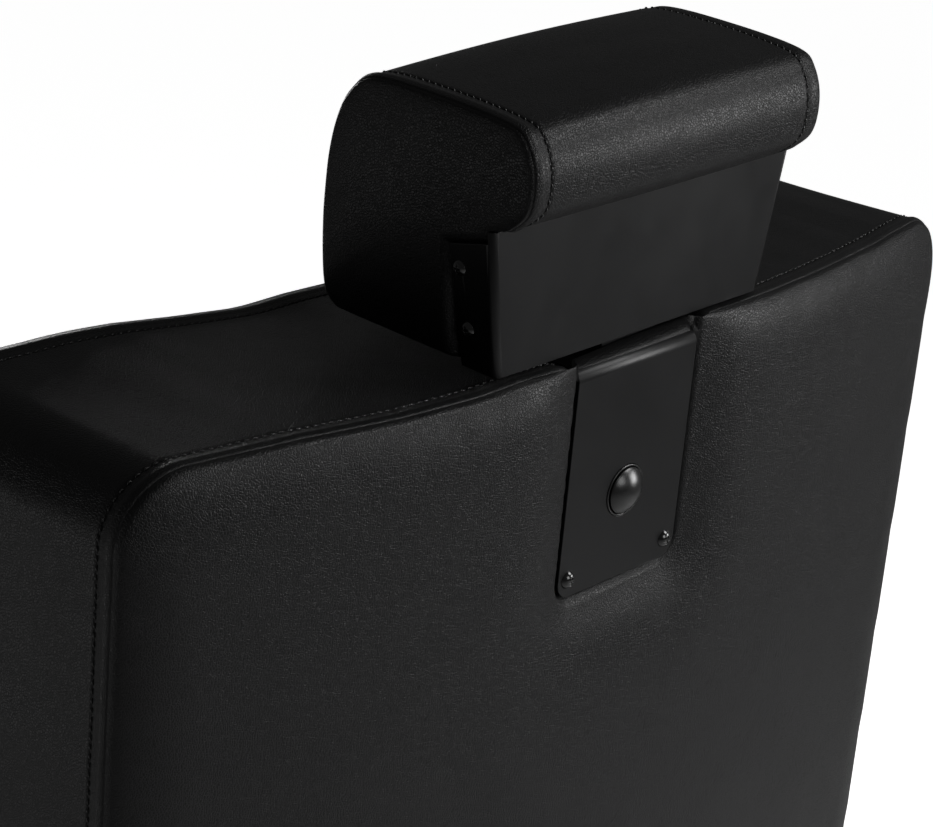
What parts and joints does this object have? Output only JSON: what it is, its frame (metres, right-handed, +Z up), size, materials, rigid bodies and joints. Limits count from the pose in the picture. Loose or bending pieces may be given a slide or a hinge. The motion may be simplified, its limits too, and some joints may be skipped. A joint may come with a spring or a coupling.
{
  "type": "threading chair",
  "caption": "Padded salon chair on a hydraulic round base, with arms, footrest, reclining back and a sliding headrest locked by a push button.",
  "frame": {"origin": "on the swivel axis at the floor, under the middle of the base", "axes": "+Z up, the sitter faces -Y, +X is the sitter's left"},
  "size_m": [0.662, 0.9369, 1.1523],
  "materials": {
    "vinyl": "satin black pebble grain vinyl",
    "black_steel": "satin black powder coat",
    "black_screw": "black oxide",
    "button_black": "gloss black",
    "rubber": "matt black rubber",
    "grip_plastic": "matt black moulded grip",
    "chrome": "polished chrome plate",
    "strut_paint": "gloss black paint",
    "bright_steel": "zinc plated",
    "plywood": "raw plywood"
  },
  "bodies": {
    "base": {"floor_pad": "rubber", "base_plate": "chrome", "base_bolts": "bright_steel", "pump_body": "chrome", "pump_cap": "chrome", "pedal_pin": "bright_steel"},
    "pedal": {"pedal_lever": "chrome", "pedal_pad": "rubber"},
    "lift": {"ram": "chrome", "ram_bolt": "bright_steel"},
    "seat": {"mount_hub": "black_steel", "rail_left": "black_steel", "rail_right": "black_steel", "crossbar_front": "black_steel", "crossbar_rear": "black_steel", "seat_board": "plywood", "seat_cushion": "vinyl", "arm_frame_left": "chrome", "arm_frame_right": "chrome", "arm_board_left": "plywood", "arm_board_right": "plywood", "arm_pad_left": "vinyl", "arm_pad_right": "vinyl", "frame_bolts": "bright_steel", "footrest_tube": "chrome", "footrest_grip": "rubber", "hinge_shaft": "bright_steel", "hinge_nuts": "bright_steel", "strut_bracket": "black_steel", "strut_front_pin": "bright_steel", "lever_hangers": "black_steel"},
    "lever": {"lever_shaft": "chrome", "lever_grip": "grip_plastic"},
    "strut_rod": {"strut_head": "black_steel", "strut_rod": "bright_steel"},
    "valve": {"valve_pin": "bright_steel"},
    "strut_barrel": {"strut_cylinder": "strut_paint"},
    "back": {"torque_tube": "black_steel", "strut_rear_pin": "bright_steel", "back_board": "plywood", "hinge_bar_left": "black_steel", "hinge_bar_right": "black_steel", "board_bolts": "bright_steel", "back_cushion": "vinyl", "lock_plate": "black_steel", "plate_screws": "black_screw", "guide_sleeve": "bright_steel", "button_collar": "button_black"},
    "button": {"release_button": "button_black", "button_spring": "bright_steel"},
    "headrest": {"headrest_post": "black_steel", "headrest_bracket": "black_steel", "bracket_screws": "black_screw", "headrest_board": "plywood", "headrest_pad": "vinyl"}
  },
  "joints": [
    {"name": "pedal_press", "type": "hinge", "parent": "base", "child": "pedal", "pos_m": [0, 0.052, 0.112], "axis": [-1, 0, 0], "range_deg": [0, 14], "stiffness_Nm_per_rad": 25, "springref_deg": -8.59},
    {"name": "lift_raise", "type": "slide", "parent": "base", "child": "lift", "axis": [0, 0, 1], "range_m": [0, 0.15]},
    {"name": "seat_swivel", "type": "hinge", "parent": "lift", "child": "seat", "pos_m": [0, 0, 0.3], "axis": [0, 0, 1], "continuous": true},
    {"name": "back_recline", "type": "hinge", "parent": "seat", "child": "back", "pos_m": [0, 0.316, 0.35005], "axis": [-1, 0, 0], "range_deg": [0, 35]},
    {"name": "lever_lift", "type": "hinge", "parent": "seat", "child": "lever", "pos_m": [0, 0.07, 0.26505], "axis": [-1, 0, 0], "range_deg": [0, 12], "stiffness_Nm_per_rad": 6, "springref_deg": -14.32},
    {"name": "strut_swing", "type": "hinge", "parent": "seat", "child": "strut_rod", "pos_m": [0, 0.1, 0.28505], "axis": [-1, 0, 0], "range_deg": [0, 1.1]},
    {"name": "valve_push", "type": "slide", "parent": "strut_rod", "child": "valve", "axis": [0, 0.9996, -0.0274], "range_m": [0, 0.0047]},
    {"name": "strut_slide", "type": "slide", "parent": "strut_rod", "child": "strut_barrel", "axis": [0, 0.9996, -0.0274], "range_m": [-0.047, 0]},
    {"name": "headrest_raise", "type": "slide", "parent": "back", "child": "headrest", "axis": [0, 0.1132, 0.9936], "range_m": [0, 0.1]},
    {"name": "button_press", "type": "slide", "parent": "back", "child": "button", "axis": [0, -0.9936, 0.1132], "range_m": [0, 0.005], "stiffness_N_per_m": 600, "springref_m": -0.004, "deforming": ["button_spring"]}
  ],
  "couplings": [
    {"joint": "strut_swing", "follows": "back_recline", "ratio": 0.0291},
    {"joint": "strut_slide", "follows": "back_recline", "m_per_rad": -0.0732},
    {"joint": "valve_push", "follows": "lever_lift", "m_per_rad": 0.0215}
  ]
}
